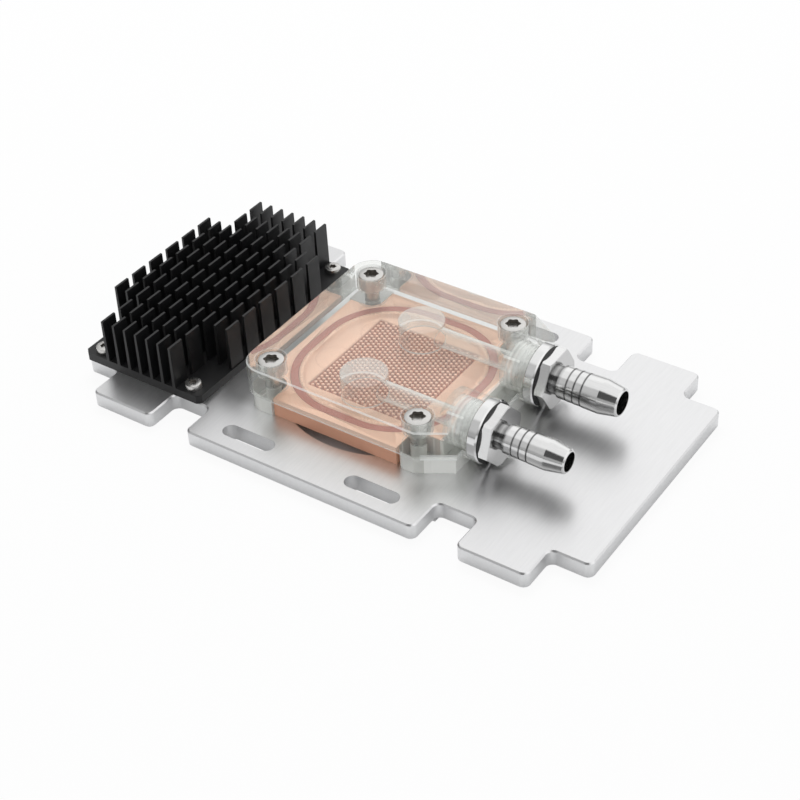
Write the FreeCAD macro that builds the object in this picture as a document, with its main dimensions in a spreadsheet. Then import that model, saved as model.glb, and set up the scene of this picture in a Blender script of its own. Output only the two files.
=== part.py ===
import FreeCAD, Part
import Sketcher
import math
import os

# Liquid cooling block on its mounting plate, with a pin fin heatsink beside it.
# Origin at the centre of the plate's underside. X runs along the plate, from the heatsink
# towards the hose fittings, Y across it and Z up. All sizes are in millimetres.

SIZES = [
    # Mounting plate
    ("plate_width", 90.0, "width over the panel and the tabs"),
    ("waist_inset", 0.6, "how far the notched edges stand inside the heatsink"),
    ("plate_thickness", 4.8, "thickness of the plate"),
    ("panel_length", 71.0, "length of the wide panel under the block"),
    ("notch_length", 11.9, "gap between the panel and a tab"),
    ("tab_length", 19.9, "length of a tab"),
    ("end_length", 11.2, "length of the narrow end past a tab"),
    ("plate_corner", 2.0, "radius of the outline's corners"),
    ("plate_bevel", 0.4, "bevel of the outline's edges"),
    ("window_wall", 1.2, "wall between the window and a tapped hole"),
    ("window_relief", 1.5, "how far the window's round sides pass its flats"),
    ("slot_width", 4.6, "width of a mounting slot"),
    ("slot_length", 16.0, "length of a mounting slot, end to end"),
    ("slot_spacing_x", 38.5, "slot centre to slot centre along X"),
    ("slot_inset", 6.3, "plate's edge to a slot's centre line"),
    # Heatsink
    ("sink_length", 40.0, "length of the base along X"),
    ("sink_width", 69.6, "width of the base along Y"),
    ("sink_height", 15.3, "from the base's underside to the tips"),
    ("sink_base", 2.5, "thickness of the base"),
    ("sink_corner", 1.2, "bevel of the base's upright corners"),
    ("column_pitch", 3.85, "nearest blade to blade along X"),
    ("row_pitch", 7.17, "nearest blade to blade along Y"),
    ("blade_root", 1.0, "thickness of a blade at the base, along X"),
    ("blade_tip", 0.65, "thickness of a blade at its tip"),
    ("blade_length", 5.1, "length of a blade, along Y"),
    ("blade_margin", 0.25, "end of the base to the first blade"),
    ("sink_screw_inset_x", 4.4, "end of the base to a screw"),
    ("sink_screw_inset_y", 3.2, "side of the base to a screw"),
    ("sink_hole_gap", 0.2, "gap round a shank in the base"),
    # Heatsink screws
    ("sink_screw_radius", 1.25, "radius of the shank"),
    ("sink_screw_head", 2.3, "radius of the head"),
    ("sink_screw_rise", 1.5, "height of the head"),
    ("sink_screw_reach", 4.2, "depth of the shank in the plate"),
    ("sink_socket_width", 1.5, "across flats of the socket"),
    ("sink_socket_depth", 0.9, "depth of the socket"),
    # Cold plate
    ("flange_reach", 4.85, "screw axis to the flange's side"),
    ("cold_thickness", 5.4, "thickness of the flange"),
    ("contact_width", 40.0, "width of the contact face under the window"),
    ("contact_corner", 3.0, "least corner radius of the contact block"),
    ("contact_gap", 1.86, "gap between its corners and the window"),
    ("pool_depth", 1.0, "depth of that recess"),
    ("pin_margin_x", 5.6, "least distance from the pins to the recess's ends"),
    ("pin_margin_y", 4.7, "least distance from the pins to the recess's sides"),
    ("pin_pitch", 1.75, "pin to pin"),
    ("pin_width", 0.95, "side of a pin"),
    ("pin_height", 1.4, "height of a pin"),
    # Seal under the cover
    ("seal_margin", 2.1, "flange's side to the groove"),
    ("seal_wall", 1.05, "wall between the groove and a corner notch"),
    ("seal_land", 1.4, "land between the groove and the recess"),
    ("groove_width", 2.3, "width of the groove"),
    ("groove_depth", 1.3, "depth of the groove"),
    ("seal_slack", 0.1, "gap on each side of the seal in its groove"),
    # Cover
    ("cover_height", 14.0, "from the plate to the top face"),
    ("cover_rim", 6.5, "screw axis to the cover's side and back"),
    ("cover_nose", 12.05, "screw axis to the face with the ports"),
    ("cover_cut_x", 9.0, "corner cut at the ports, along X"),
    ("cover_cut_y", 5.4, "corner cut at the ports, along Y"),
    ("cover_bevel", 0.4, "bevel of the top edge"),
    ("foot_wall", 3.3, "screw axis to the inner faces of a foot"),
    ("foot_inset", 1.0, "how far the feet stand inside the cover's outline"),
    ("foot_round", 2.5, "rounded edge of a foot beside the ports"),
    ("foot_gap", 0.25, "gap between a foot and the cold plate"),
    ("chamber_radius", 6.3, "radius of an upright chamber"),
    ("chamber_roof", 1.8, "wall above a chamber"),
    ("channel_radius", 2.7, "radius of a flow channel"),
    # Ports
    ("port_spacing", 26.86, "port axis to port axis"),
    ("port_lift", 0.3, "gap between a collar and the plate"),
    ("port_clearance", 0.08, "gap between a port and its thread"),
    ("port_floor", 0.25, "wall between a port and the cold plate's bay"),
    ("port_bevel", 0.5, "bevel at the mouth of a port"),
    ("boss_wall", 1.72, "wall of a port boss"),
    ("boss_length", 8.7, "length of a port boss"),
    ("boss_proud", 1.2, "how far a boss stands out of the face"),
    # Cover screws
    ("screw_spacing", 45.5, "screw to screw, both ways"),
    ("screw_radius", 2.0, "radius of the shank"),
    ("screw_head", 3.5, "radius of the head"),
    ("screw_rise", 4.0, "height of the head"),
    ("screw_sunk", 0.3, "top face down to the head"),
    ("screw_reach", 4.2, "depth of the shank in the plate"),
    ("screw_clearance", 0.15, "gap round the shank in the cover"),
    ("head_clearance", 0.6, "gap round the head in the cover"),
    ("thread_clearance", 0.05, "gap round a shank in its tapped hole"),
    ("socket_width", 3.0, "across flats of the socket"),
    ("socket_depth", 2.2, "depth of the socket"),
    # Fittings
    ("shank_radius", 6.5, "outside radius of a fitting's thread"),
    ("shank_length", 5.0, "length of the thread inside the port"),
    ("shank_lead", 0.6, "bevel at the end of the thread"),
    ("collar_lip", 0.2, "how far a collar stands out past its boss"),
    ("collar_length", 2.9, "length of a collar"),
    ("collar_gap", 0.05, "gap between a collar and the thread"),
    ("collar_bevel", 0.35, "bevel of a collar's rims"),
    ("ring_thickness", 0.4, "thickness of the ring behind the hexagon"),
    ("ring_inset", 0.4, "how far that ring stands inside the collar"),
    ("face_seal_wall", 0.6, "wall inside the groove for the seal on a boss"),
    ("face_seal_width", 0.85, "width of that seal"),
    ("face_seal_depth", 0.8, "depth of its groove in the collar"),
    ("hex_inset", 0.1, "how far the hexagon's corners stand inside the collar"),
    ("hex_length", 2.9, "length of the hexagon"),
    ("hex_bevel", 0.6, "bevel of the hexagon's corners"),
    ("neck_length", 1.3, "length of the neck behind the barb"),
    ("neck_step", 0.5, "how much thinner the neck is"),
    ("barb_length", 17.0, "length of the barb"),
    ("barb_plain", 2.5, "length of the barb before its first groove"),
    ("barb_rib_pitch", 2.2, "groove to groove"),
    ("barb_rib_width", 0.3, "width of a groove"),
    ("barb_rib_depth", 0.22, "depth of a groove"),
    ("barb_bulge", 1.8, "length of the thickest part"),
    ("barb_taper", 5.2, "length of the taper at the tip"),
    ("tip_round", 0.35, "rounding of the tip"),
    ("barb_wall", 1.25, "wall of a barb at its root"),
    ("bulge_rise", 0.3, "how far the thickest part stands out"),
    ("tip_wall", 0.68, "wall of a barb at its tip"),
    ("front_hex_turn", 43.0, "turn of the front hexagon, in degrees"),
    ("front_bore_radius", 2.6, "front barb, bore"),
    ("rear_hex_turn", 31.0, "turn of the rear hexagon, in degrees"),
    ("rear_bore_radius", 3.2, "rear barb, bore"),
]

BARB_GROOVES = 3

# Edges and faces are found by their places, to this distance
CLOSE = 0.005

# How far a cutting outline runs past the faces it opens
BEYOND = "1"

# The four corners, by the signs of X and Y
SIGNS = ((-1, -1), (1, -1), (-1, 1), (1, 1))

doc = FreeCAD.newDocument("water_block")
sheet = doc.addObject("Spreadsheet::Sheet", "Sizes")
for row, (alias, size, meaning) in enumerate(SIZES, start=1):
    sheet.set(f"A{row}", str(size))
    sheet.set(f"B{row}", meaning)
    sheet.setAlias(f"A{row}", alias)
doc.recompute()


def number(expression):
    """The value of an expression on the sheet."""
    result = sheet.evalExpression(expression)
    return float(getattr(result, "Value", result))


def signed(sign, expression):
    """The expression, or its negative."""
    return f"-({expression})" if sign < 0 else expression


# Places and sizes that more than one piece uses
PLATE_TOP = "Sizes.plate_thickness"
COLD_TOP = "(Sizes.plate_thickness + Sizes.cold_thickness)"
COVER_TOP = "(Sizes.plate_thickness + Sizes.cover_height)"
TAB_NEAR = "(Sizes.panel_length / 2 + Sizes.notch_length)"
TAB_FAR = f"({TAB_NEAR} + Sizes.tab_length)"
PLATE_END = f"({TAB_FAR} + Sizes.end_length)"
SCREW_X = "(Sizes.screw_spacing / 2)"
SCREW_DIAGONAL = f"({SCREW_X} * sqrt(2))"
TAPPED_RADIUS = "(Sizes.screw_radius + Sizes.thread_clearance)"
WINDOW_FLAT = f"({SCREW_DIAGONAL} - {TAPPED_RADIUS} - Sizes.window_wall)"
COLD_SIDE = f"({SCREW_X} + Sizes.flange_reach)"
BAY_WALL = f"({COLD_SIDE} + Sizes.foot_gap)"
COVER_SIDE = f"({SCREW_X} + Sizes.cover_rim)"
COVER_NOSE = f"({SCREW_X} + Sizes.cover_nose)"
PORT_Y = "(Sizes.port_spacing / 2)"
PORT_RADIUS = "(Sizes.shank_radius + Sizes.port_clearance)"
BOSS_RADIUS = f"({PORT_RADIUS} + Sizes.boss_wall)"
BOSS_FACE = f"({COVER_NOSE} + Sizes.boss_proud)"
COLLAR_RADIUS = f"({BOSS_RADIUS} + Sizes.collar_lip)"
COLLAR_BORE = "(Sizes.shank_radius + Sizes.collar_gap)"
FACE_SEAL_BORE = f"({COLLAR_BORE} + Sizes.face_seal_wall)"
FACE_SEAL_RADIUS = f"({FACE_SEAL_BORE} + Sizes.face_seal_width)"
PORT_AXIS = f"({PLATE_TOP} + {COLLAR_RADIUS} + Sizes.port_lift)"
SINK_SCREW_X = "(Sizes.sink_length / 2 - Sizes.sink_screw_inset_x)"
SINK_SCREW_Y = "(Sizes.sink_width / 2 - Sizes.sink_screw_inset_y)"
SINK_CENTRE = f"({PLATE_END} - Sizes.sink_length / 2)"
SINK_SCREWS_X = (f"-({SINK_CENTRE} + {SINK_SCREW_X})", f"-({SINK_CENTRE} - {SINK_SCREW_X})")

# The seal runs inside the corner notches, so their roots set its corner radius
NOTCH_ROOT = f"({SCREW_DIAGONAL} - Sizes.foot_wall - Sizes.foot_gap)"
GROOVE_SIDE = f"({COLD_SIDE} - Sizes.seal_margin)"
GROOVE_CORNER = f"((sqrt(2) * {GROOVE_SIDE} - {NOTCH_ROOT} + Sizes.seal_wall) / (sqrt(2) - 1))"
LAND_SIDE = f"({GROOVE_SIDE} - Sizes.groove_width)"
LAND_CORNER = f"({GROOVE_CORNER} - Sizes.groove_width)"
POOL_SIDE = f"({LAND_SIDE} - Sizes.seal_land)"
POOL_CORNER = f"({LAND_CORNER} - Sizes.seal_land)"


# Sketches


def origin_feature(body, role):
    return next(f for f in body.Origin.OriginFeatures if f.Role == role)


def new_body(name):
    body = doc.addObject("PartDesign::Body", name)
    body.Label = name
    return body


def new_sketch(body, name, plane="XY_Plane", offset=None):
    """A sketch on one of the body's own planes, moved along its normal by an expression."""
    sketch = body.newObject("Sketcher::SketchObject", name)
    sketch.AttachmentSupport = (origin_feature(body, plane), [""])
    sketch.MapMode = "FlatFace"
    if offset:
        sketch.setExpression("AttachmentOffset.Base.z", offset)
    return sketch


def hold(sketch, kind, geometry, point, expression):
    """Bind one coordinate of a point, or a radius, to an expression."""
    if kind == "Radius":
        constraint = Sketcher.Constraint(kind, geometry, number(expression))
    elif expression == "0":
        axis = -2 if kind == "DistanceX" else -1
        sketch.addConstraint(Sketcher.Constraint("PointOnObject", geometry, point, axis))
        return
    else:
        constraint = Sketcher.Constraint(kind, -1, 1, geometry, point, number(expression))
    index = sketch.addConstraint(constraint)
    sketch.setExpression(f"Constraints[{index}]", expression)


def hold_point(sketch, geometry, point, x, y):
    hold(sketch, "DistanceX", geometry, point, x)
    hold(sketch, "DistanceY", geometry, point, y)


def vector(x, y):
    return FreeCAD.Vector(number(x), number(y), 0)


def polygon(sketch, points):
    """A closed outline through points whose coordinates are expressions."""
    first = sketch.GeometryCount
    corners = [vector(x, y) for x, y in points]
    for start, end in zip(corners, corners[1:] + corners[:1]):
        sketch.addGeometry(Part.LineSegment(start, end), False)
    for step, (x, y) in enumerate(points):
        following = first + (step + 1) % len(points)
        sketch.addConstraint(Sketcher.Constraint("Coincident", first + step, 2, following, 1))
        hold_point(sketch, first + step, 1, x, y)


def rectangle(sketch, left, bottom, right, top):
    polygon(sketch, [(left, bottom), (right, bottom), (right, top), (left, top)])


def circle(sketch, x, y, radius):
    up = FreeCAD.Vector(0, 0, 1)
    index = sketch.addGeometry(Part.Circle(vector(x, y), up, number(radius)), False)
    hold_point(sketch, index, 3, x, y)
    hold(sketch, "Radius", index, 0, radius)


def arc(sketch, x, y, radius, start, end):
    """An arc whose centre and radius are expressions. Its ends are left to its neighbours."""
    round_part = Part.Circle(vector(x, y), FreeCAD.Vector(0, 0, 1), number(radius))
    turn = Part.ArcOfCircle(round_part, math.radians(start), math.radians(end))
    return sketch.addGeometry(turn, False)


def straight(sketch, start, end):
    return sketch.addGeometry(Part.LineSegment(start, end), False)


def smooth_join(sketch, first, second):
    sketch.addConstraint(Sketcher.Constraint("Tangent", first, 2, second, 1))


def end_point(sketch, index, start):
    curve = sketch.Geometry[index]
    return curve.StartPoint if start else curve.EndPoint


def rounded_rectangle(sketch, half_x, half_y, radius):
    """A rectangle about the origin with rounded corners."""
    centre_x = f"({half_x} - {radius})"
    centre_y = f"({half_y} - {radius})"
    arcs = []
    for quarter, (sign_x, sign_y) in enumerate(((1, 1), (-1, 1), (-1, -1), (1, -1))):
        x = signed(sign_x, centre_x)
        y = signed(sign_y, centre_y)
        arcs.append(arc(sketch, x, y, radius, 90 * quarter, 90 * quarter + 90))
    for quarter, index in enumerate(arcs):
        following = arcs[(quarter + 1) % 4]
        start = end_point(sketch, index, False)
        side = straight(sketch, start, end_point(sketch, following, True))
        smooth_join(sketch, index, side)
        smooth_join(sketch, side, following)
        hold(sketch, "Radius", index, 0, radius)
        level = "Horizontal" if quarter % 2 == 0 else "Vertical"
        sketch.addConstraint(Sketcher.Constraint(level, side))
    hold_point(sketch, arcs[0], 3, centre_x, centre_y)
    hold_point(sketch, arcs[2], 3, f"-{centre_x}", f"-{centre_y}")


def slot(sketch, x, y, length, width):
    """A slot along X about a centre."""
    reach = f"({length} - {width}) / 2"
    right_x = f"{x} + {reach}"
    left_x = f"{x} - {reach}"
    radius = f"{width} / 2"
    right = arc(sketch, right_x, y, radius, -90, 90)
    left = arc(sketch, left_x, y, radius, 90, 270)
    top = straight(sketch, end_point(sketch, right, False), end_point(sketch, left, True))
    bottom = straight(sketch, end_point(sketch, left, False), end_point(sketch, right, True))
    for first, second in ((right, top), (top, left), (left, bottom), (bottom, right)):
        smooth_join(sketch, first, second)
    hold_point(sketch, right, 3, right_x, y)
    hold_point(sketch, left, 3, left_x, y)
    hold(sketch, "Radius", right, 0, radius)
    hold(sketch, "Radius", left, 0, radius)


# Features


def settle(body, feature, base, grows):
    """Recompute, and see that the feature added or took away material."""
    body.Tip = feature
    doc.recompute()
    before = base.Shape.Volume if base else 0.0
    change = feature.Shape.Volume - before
    if (grows and change <= 0) or (not grows and change >= 0):
        raise RuntimeError(f"{feature.Name} leaves {body.Name} as it was")
    return feature


def pad(body, name, sketch, length):
    """Material from a sketch, along the sketch's normal."""
    base = body.Tip
    feature = body.newObject("PartDesign::Pad", name)
    feature.Profile = sketch
    feature.setExpression("Length", length)
    return settle(body, feature, base, grows=True)


def pocket(body, name, sketch, depth=None, along_normal=False):
    """A cut from a sketch. Without a depth it goes through everything, both ways."""
    base = body.Tip
    feature = body.newObject("PartDesign::Pocket", name)
    feature.Profile = sketch
    if depth:
        feature.setExpression("Length", depth)
        feature.Reversed = along_normal
    else:
        feature.Type = "ThroughAll"
        feature.Midplane = True
    return settle(body, feature, base, grows=False)


def revolve(body, name, sketch, axis):
    base = body.Tip
    feature = body.newObject("PartDesign::Revolution", name)
    feature.Profile = sketch
    feature.ReferenceAxis = (origin_feature(body, axis), [""])
    feature.Angle = 360
    return settle(body, feature, base, grows=True)


def revolved_cut(body, name, sketch, axis):
    base = body.Tip
    feature = body.newObject("PartDesign::Groove", name)
    feature.Profile = sketch
    feature.ReferenceAxis = (origin_feature(body, axis), [""])
    feature.Angle = 360
    return settle(body, feature, base, grows=False)


def repeat_cut(body, name, cut, axis, length, count):
    """The cut repeated along an axis of the body, over a length."""
    feature = body.newObject("PartDesign::LinearPattern", name)
    feature.Originals = [cut]
    feature.Direction = (origin_feature(body, axis), [""])
    feature.setExpression("Length", length)
    feature.setExpression("Occurrences", count)
    return settle(body, feature, cut, grows=False)


def dress(body, kind, name, chosen, size):
    """A fillet or a chamfer on the tip's edges that a test chooses."""
    base = body.Tip
    edges = [f"Edge{i}" for i, edge in enumerate(base.Shape.Edges, start=1) if chosen(edge)]
    feature = body.newObject(f"PartDesign::{kind}", name)
    feature.Base = (base, edges)
    feature.setExpression("Radius" if kind == "Fillet" else "Size", size)
    body.Tip = feature
    doc.recompute()
    return feature


def near_to(value, other):
    return abs(value - other) < CLOSE


def upright(edge):
    box = edge.BoundBox
    return box.XLength < CLOSE and box.YLength < CLOSE and box.ZLength > CLOSE


def outline_at(shape, height):
    """The outer edges of the largest flat face at a height."""
    faces = [f for f in shape.Faces if near_to(f.BoundBox.ZMin, height)]
    faces = [f for f in faces if f.BoundBox.ZLength < CLOSE]
    return max(faces, key=lambda f: f.Area).OuterWire.Edges


def among(edges):
    return lambda edge: any(edge.isSame(other) for other in edges)


def move_body(body, x="0", y="0", z="0"):
    """Bind the body's place to expressions."""
    for letter, expression in (("x", x), ("y", y), ("z", z)):
        if expression != "0":
            body.setExpression(f".Placement.Base.{letter}", expression)


# Mounting plate


def plate_outline():
    """The plate's outline, from one quarter of it."""
    waist = "(Sizes.sink_width / 2 - Sizes.waist_inset)"
    side = "Sizes.plate_width / 2"
    panel = "Sizes.panel_length / 2"
    quarter = [
        (PLATE_END, waist),
        (TAB_FAR, waist),
        (TAB_FAR, side),
        (TAB_NEAR, side),
        (TAB_NEAR, waist),
        (panel, waist),
        (panel, side),
    ]
    points = []
    for sign_x, sign_y in ((1, 1), (-1, 1), (-1, -1), (1, -1)):
        corner = [(signed(sign_x, x), signed(sign_y, y)) for x, y in quarter]
        points += corner if sign_x == sign_y else corner[::-1]
    return points


def window(sketch):
    """A round opening with four flats across its corners."""
    radius = f"({WINDOW_FLAT} + Sizes.window_relief)"
    spread = f"({radius} * sin(45 deg - acos({WINDOW_FLAT} / {radius})))"
    half = math.degrees(math.asin(number(spread) / number(radius)))
    arcs = [arc(sketch, "0", "0", radius, 90 * k - half, 90 * k + half) for k in range(4)]
    for quarter, index in enumerate(arcs):
        following = arcs[(quarter + 1) % 4]
        start = end_point(sketch, index, False)
        flat = straight(sketch, start, end_point(sketch, following, True))
        sketch.addConstraint(Sketcher.Constraint("Coincident", index, 3, -1, 1))
        sketch.addConstraint(Sketcher.Constraint("Coincident", index, 2, flat, 1))
        sketch.addConstraint(Sketcher.Constraint("Coincident", flat, 2, following, 1))
        hold(sketch, "Radius", index, 0, radius)
        way = "DistanceY" if quarter % 2 == 0 else "DistanceX"
        rising = quarter in (0, 3)
        hold(sketch, way, index, 2, signed(1 if rising else -1, spread))
        hold(sketch, way, index, 1, signed(-1 if rising else 1, spread))


def mounting_plate():
    body = new_body("mounting_plate")
    outline = new_sketch(body, "plate_outline")
    polygon(outline, plate_outline())
    pad(body, "plate_slab", outline, "Sizes.plate_thickness")
    dress(body, "Fillet", "plate_corners", upright, "Sizes.plate_corner")
    top = outline_at(body.Tip.Shape, number(PLATE_TOP))
    bottom = outline_at(body.Tip.Shape, 0.0)
    dress(body, "Chamfer", "plate_edges", among(top + bottom), "Sizes.plate_bevel")

    opening = new_sketch(body, "window_outline")
    window(opening)
    pocket(body, "window", opening)

    slots = new_sketch(body, "slot_outlines")
    for sign_x, sign_y in SIGNS:
        x = signed(sign_x, "Sizes.slot_spacing_x / 2")
        y = signed(sign_y, "(Sizes.plate_width / 2 - Sizes.slot_inset)")
        slot(slots, x, y, "Sizes.slot_length", "Sizes.slot_width")
    pocket(body, "slots", slots)

    tapped = new_sketch(body, "tapped_holes")
    for sign_x, sign_y in SIGNS:
        circle(tapped, signed(sign_x, SCREW_X), signed(sign_y, SCREW_X), TAPPED_RADIUS)
    for x in SINK_SCREWS_X:
        for sign_y in (-1, 1):
            radius = "Sizes.sink_screw_radius + Sizes.thread_clearance"
            circle(tapped, x, signed(sign_y, SINK_SCREW_Y), radius)
    pocket(body, "tapped", tapped)
    return body


# Heatsink


def heatsink():
    """An extruded comb, cut across into blades, with its corners cleared for the screws."""
    body = new_body("heatsink")
    move_body(body, x=f"-{SINK_CENTRE}", z=PLATE_TOP)
    half_x = "Sizes.sink_length / 2"
    half_y = "Sizes.sink_width / 2"
    first_blade = f"(-{half_x} + Sizes.blade_margin + Sizes.blade_root / 2)"
    gap_count = f"round(-2 * {first_blade} / Sizes.column_pitch)"
    column_pitch = f"(-2 * {first_blade} / {gap_count})"
    row_span = "(Sizes.sink_width - Sizes.blade_length)"
    cross_count = f"round({row_span} / Sizes.row_pitch)"
    row_pitch = f"({row_span} / {cross_count})"
    cut_depth = "Sizes.sink_height - Sizes.sink_base"
    over = f"(Sizes.sink_height + {BEYOND})"
    half_root = "Sizes.blade_root / 2"
    half_tip = "Sizes.blade_tip / 2"

    block = new_sketch(body, "sink_outline")
    rectangle(block, f"-{half_x}", f"-{half_y}", half_x, half_y)
    pad(body, "sink_block", block, "Sizes.sink_height")
    dress(body, "Chamfer", "sink_corners", upright, "Sizes.sink_corner")

    # The comb's end view: what is cut beside the end blades, and one gap between two blades
    ends = new_sketch(body, "end_cuts", "XZ_Plane")
    for sign in (-1, 1):
        points = [
            (f"(-{first_blade} + {half_root})", "Sizes.sink_base"),
            (f"({half_x} + {BEYOND})", "Sizes.sink_base"),
            (f"({half_x} + {BEYOND})", over),
            (f"(-{first_blade} + {half_tip})", over),
            (f"(-{first_blade} + {half_tip})", "Sizes.sink_height"),
        ]
        polygon(ends, [(signed(sign, x), z) for x, z in points])
    pocket(body, "blade_ends", ends)
    gap = new_sketch(body, "gap_outline", "XZ_Plane")
    following = f"({first_blade} + {column_pitch})"
    polygon(
        gap,
        [
            (f"{first_blade} + {half_root}", "Sizes.sink_base"),
            (f"{following} - {half_root}", "Sizes.sink_base"),
            (f"{following} - {half_tip}", "Sizes.sink_height"),
            (f"{following} - {half_tip}", over),
            (f"{first_blade} + {half_tip}", over),
            (f"{first_blade} + {half_tip}", "Sizes.sink_height"),
        ],
    )
    first_gap = pocket(body, "first_gap", gap)
    gaps_length = f"({gap_count} - 1) * {column_pitch}"
    repeat_cut(body, "gaps", first_gap, "X_Axis", gaps_length, gap_count)

    cross = new_sketch(body, "cross_outline", offset="Sizes.sink_height")
    cross_start = f"-{half_y} + Sizes.blade_length"
    cross_end = f"-{half_y} + {row_pitch}"
    rectangle(cross, f"-{half_x} - {BEYOND}", cross_start, f"{half_x} + {BEYOND}", cross_end)
    first_cross = pocket(body, "first_cross", cross, cut_depth)
    cross_length = f"({cross_count} - 1) * {row_pitch}"
    repeat_cut(body, "cross_cuts", first_cross, "Y_Axis", cross_length, cross_count)

    corners = new_sketch(body, "corner_outlines", offset="Sizes.sink_height")
    edge_x = f"(-{first_blade} - 1.5 * {column_pitch})"
    edge_y = f"({half_y} - Sizes.blade_length / 2 - 1.5 * {row_pitch})"
    for sign_x, sign_y in SIGNS:
        near_x = signed(sign_x, edge_x)
        near_y = signed(sign_y, edge_y)
        far_x = signed(sign_x, f"({half_x} + {BEYOND})")
        far_y = signed(sign_y, f"({half_y} + {BEYOND})")
        rectangle(corners, near_x, near_y, far_x, far_y)
    pocket(body, "cleared_corners", corners, cut_depth)

    holes = new_sketch(body, "sink_holes")
    for sign_x, sign_y in SIGNS:
        x = signed(sign_x, SINK_SCREW_X)
        y = signed(sign_y, SINK_SCREW_Y)
        circle(holes, x, y, "Sizes.sink_screw_radius + Sizes.sink_hole_gap")
    pocket(body, "sink_hole_cuts", holes)
    return body


# Cold plate


def corner_notches(sketch, near, far):
    """A square at each corner, from near to far on both axes."""
    for sign_x, sign_y in SIGNS:
        near_x = signed(sign_x, near)
        near_y = signed(sign_y, near)
        rectangle(sketch, near_x, near_y, signed(sign_x, far), signed(sign_y, far))


def cold_plate():
    """A copper flange with its contact block below and a field of pins in a recess on top."""
    body = new_body("cold_plate")
    contact = new_sketch(body, "contact_outline")
    half = "Sizes.contact_width / 2"
    past_corner = f"({half} * sqrt(2) - {WINDOW_FLAT} + Sizes.contact_gap)"
    corner = f"max(Sizes.contact_corner; {past_corner} / (sqrt(2) - 1))"
    rounded_rectangle(contact, half, half, corner)
    pad(body, "contact_block", contact, f"{PLATE_TOP} + Sizes.cold_thickness / 2")

    flange = new_sketch(body, "flange_outline", offset=PLATE_TOP)
    rectangle(flange, f"-{COLD_SIDE}", f"-{COLD_SIDE}", COLD_SIDE, COLD_SIDE)
    pad(body, "flange", flange, "Sizes.cold_thickness")

    notches = new_sketch(body, "notch_outlines", offset=PLATE_TOP)
    near = f"({SCREW_X} - Sizes.foot_wall - Sizes.foot_gap)"
    corner_notches(notches, near, f"({COLD_SIDE} + {BEYOND})")
    pocket(body, "notches", notches, "Sizes.cold_thickness", along_normal=True)
    inner = number(near)

    def notch_root(edge):
        place = edge.BoundBox.Center
        root = near_to(abs(place.x), inner) and near_to(abs(place.y), inner)
        return upright(edge) and root

    dress(body, "Fillet", "notch_roots", notch_root, "Sizes.foot_wall + Sizes.foot_gap")

    groove = new_sketch(body, "groove_outline", offset=COLD_TOP)
    rounded_rectangle(groove, GROOVE_SIDE, GROOVE_SIDE, GROOVE_CORNER)
    rounded_rectangle(groove, LAND_SIDE, LAND_SIDE, LAND_CORNER)
    pocket(body, "seal_groove", groove, "Sizes.groove_depth")

    pool = new_sketch(body, "pool_outline", offset=COLD_TOP)
    rounded_rectangle(pool, POOL_SIDE, POOL_SIDE, POOL_CORNER)
    pocket(body, "pool", pool, "Sizes.pool_depth")

    pool_floor = f"({COLD_TOP} - Sizes.pool_depth)"
    gap = "(Sizes.pin_pitch - Sizes.pin_width)"
    columns = f"floor((2 * ({POOL_SIDE} - Sizes.pin_margin_x) - {gap}) / Sizes.pin_pitch)"
    rows = f"floor((2 * ({POOL_SIDE} - Sizes.pin_margin_y) - {gap}) / Sizes.pin_pitch)"
    field_x = f"(({columns} * Sizes.pin_pitch + {gap}) / 2)"
    field_y = f"(({rows} * Sizes.pin_pitch + {gap}) / 2)"
    along = new_sketch(body, "groove_along", offset=pool_floor)
    rectangle(along, f"-{field_x}", f"-{field_y}", field_x, f"-{field_y} + {gap}")
    first_along = pocket(body, "first_along", along, "Sizes.pin_height")
    length = f"{rows} * Sizes.pin_pitch"
    repeat_cut(body, "grooves_along", first_along, "Y_Axis", length, f"{rows} + 1")
    across = new_sketch(body, "groove_across", offset=pool_floor)
    rectangle(across, f"-{field_x}", f"-{field_y}", f"-{field_x} + {gap}", field_y)
    first_across = pocket(body, "first_across", across, "Sizes.pin_height")
    length = f"{columns} * Sizes.pin_pitch"
    repeat_cut(body, "grooves_across", first_across, "X_Axis", length, f"{columns} + 1")
    return body


def cover_seal():
    """The seal as it lies in its groove, pressed flat by the cover."""
    body = new_body("cover_seal")
    move_body(body, z=f"{COLD_TOP} - Sizes.groove_depth")
    ring = new_sketch(body, "seal_outline")
    outside = f"({GROOVE_SIDE} - Sizes.seal_slack)"
    outside_corner = f"({GROOVE_CORNER} - Sizes.seal_slack)"
    inside = f"({LAND_SIDE} + Sizes.seal_slack)"
    inside_corner = f"({LAND_CORNER} + Sizes.seal_slack)"
    rounded_rectangle(ring, outside, outside, outside_corner)
    rounded_rectangle(ring, inside, inside, inside_corner)
    pad(body, "seal_ring", ring, "Sizes.groove_depth")
    return body


# Cover


def cover_outline(sketch, inset="0"):
    """Four straight sides, with the corners beside the ports cut off."""
    back = f"-({COVER_SIDE} - {inset})"
    face = f"({COVER_NOSE} - {inset})"
    side = f"({COVER_SIDE} - {inset})"
    cut_x = f"({face} - Sizes.cover_cut_x)"
    cut_y = f"({side} - Sizes.cover_cut_y)"
    points = [(back, side), (cut_x, side), (face, cut_y)]
    polygon(sketch, [(x, f"-{y}") for x, y in points] + points[::-1])


def port_circles(sketch, radius):
    """A circle on each port's axis, in a sketch across X."""
    for sign in (-1, 1):
        circle(sketch, signed(sign, PORT_Y), PORT_AXIS, radius)


def at_back(distance):
    """A test for the upright edges on the side beside the heatsink."""
    back = -number(distance)
    return lambda edge: upright(edge) and abs(edge.BoundBox.XMin - back) < CLOSE


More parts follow.
